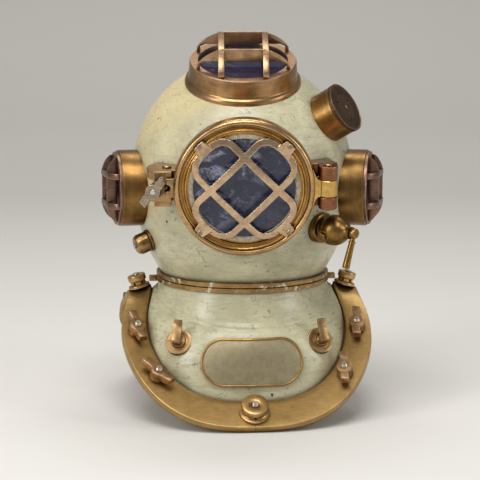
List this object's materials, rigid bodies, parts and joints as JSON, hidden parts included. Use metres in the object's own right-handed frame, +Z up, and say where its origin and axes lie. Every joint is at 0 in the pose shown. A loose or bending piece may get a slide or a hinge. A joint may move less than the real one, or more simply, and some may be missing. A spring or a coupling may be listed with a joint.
{
  "type": "diving helmet",
  "caption": "Copper diving helmet whose bonnet, with guarded ports, hinged faceplate and valves, turns off a saddle breastplate clamped by bands and wing nuts.",
  "frame": {"origin": "centre of the bounding box in plan, on the floor that the front and rear of the rim stand on", "axes": "+Z up the helmet's axis, -Y out of the face port, +X to the viewer's right as the helmet faces them"},
  "size_m": [0.3976, 0.4222, 0.5277],
  "materials": {
    "paint": "pale enamel over copper, scratched and chipped",
    "brass": "satin, worn bright on the edges",
    "bronze": "pinkish cast bronze, satin",
    "bright": "tinned and rubbed bright",
    "gasket": "dark, matt",
    "seal": "pale packing, matt",
    "window": "clear, polished",
    "dark": "dark fibre"
  },
  "bodies": {
    "breastplate": {"breastplate_shell": "paint", "rim_flange": "brass", "breastplate_neck_ring": "brass", "neck_gasket": "gasket", "brail_front_left": "brass", "brail_front_right": "brass", "brail_rear_left": "brass", "brail_rear_right": "brass", "rim_studs": "bright", "wing_nuts": "bronze", "flanged_nuts": "brass", "lashing_hook_left": "bronze", "lashing_hook_right": "bronze", "nameplate": "bronze", "lock_hinge": "brass"},
    "bonnet": {"bonnet_shell": "paint", "bonnet_neck_ring": "brass", "top_port_frame": "brass", "top_port_glass": "window", "top_port_guard": "bronze", "left_port_frame": "brass", "left_port_glass": "window", "left_port_guard": "bronze", "right_port_frame": "brass", "right_port_glass": "window", "right_port_guard": "bronze", "port_gaskets": "gasket", "face_port_frame": "brass", "face_gasket": "gasket", "hinge_bracket": "brass", "hinge_pin": "bronze", "clamp_bracket": "brass", "clamp_pivot_pin": "bronze", "speaker_cup": "brass", "speaker_cup_cap": "bronze", "speaker_receiver": "dark", "spitcock_body": "brass", "exhaust_valve_body": "brass", "exhaust_spring": "bright", "air_elbow": "brass", "non_return_body": "brass", "non_return_spring": "bright", "comm_elbow": "paint", "air_channels": "paint", "lock_catch": "brass"},
    "faceplate": {"faceplate_ring": "brass", "faceplate_glass": "window", "faceplate_seal": "seal", "faceplate_guard": "bronze", "guard_screws": "bright"},
    "swing_bolt": {"swing_bolt": "bright"},
    "clamp_washer": {"clamp_washer": "brass"},
    "clamp_wing_nut": {"clamp_wing_nut": "bronze"},
    "spitcock_lever": {"spitcock_lever": "brass"},
    "exhaust_wheel": {"exhaust_valve_wheel": "brass"},
    "exhaust_stem": {"exhaust_stem": "bright"},
    "non_return_disc": {"non_return_disc": "dark"},
    "safety_lock": {"safety_lock": "bronze"}
  },
  "joints": [
    {"name": "bonnet_turn", "type": "hinge", "parent": "breastplate", "child": "bonnet", "pos_m": [0, 0, 0.18], "axis": [0, 0, 1], "range_deg": [0, 45]},
    {"name": "faceplate_hinge", "type": "hinge", "parent": "bonnet", "child": "faceplate", "pos_m": [0.111, -0.16052, 0.32411], "axis": [0, -0.1736, 0.9848], "range_deg": [0, 110]},
    {"name": "swing_bolt_pivot", "type": "hinge", "parent": "bonnet", "child": "swing_bolt", "pos_m": [-0.103, -0.13886, 0.32793], "axis": [0, 0.1736, -0.9848], "range_deg": [-22, 60]},
    {"name": "wing_nut_turn", "type": "hinge", "parent": "clamp_washer", "child": "clamp_wing_nut", "pos_m": [-0.11649, -0.17173, 0.32214], "axis": [-0.3746, -0.9131, -0.161], "range_deg": [-720, 0]},
    {"name": "washer_slide", "type": "slide", "parent": "swing_bolt", "child": "clamp_washer", "axis": [-0.3746, -0.9131, -0.161], "range_m": [-0.003, 0]},
    {"name": "spitcock_turn", "type": "hinge", "parent": "bonnet", "child": "spitcock_lever", "pos_m": [0.1443, -0.14684, 0.25981], "axis": [0.7005, -0.7128, -0.0349], "range_deg": [0, 90]},
    {"name": "exhaust_wheel_turn", "type": "hinge", "parent": "bonnet", "child": "exhaust_wheel", "pos_m": [-0.13926, -0.05911, 0.23331], "axis": [-0.8704, -0.3694, -0.3256], "range_deg": [-360, 360]},
    {"name": "exhaust_stem_slide", "type": "slide", "parent": "bonnet", "child": "exhaust_stem", "axis": [-0.8704, -0.3694, -0.3256], "range_m": [0, 0.004], "stiffness_N_per_m": 400, "deforming": ["exhaust_spring"]},
    {"name": "non_return_slide", "type": "slide", "parent": "bonnet", "child": "non_return_disc", "axis": [0.1606, -0.302, 0.9397], "range_m": [0, 0.003], "stiffness_N_per_m": 300, "deforming": ["non_return_spring"]},
    {"name": "safety_lock_hinge", "type": "hinge", "parent": "breastplate", "child": "safety_lock", "pos_m": [0, 0.14, 0.1685], "axis": [-1, 0, 0], "range_deg": [-75, 0]}
  ],
  "couplings": [
    {"joint": "washer_slide", "follows": "wing_nut_turn", "m_per_rad": 0.00023873}
  ]
}
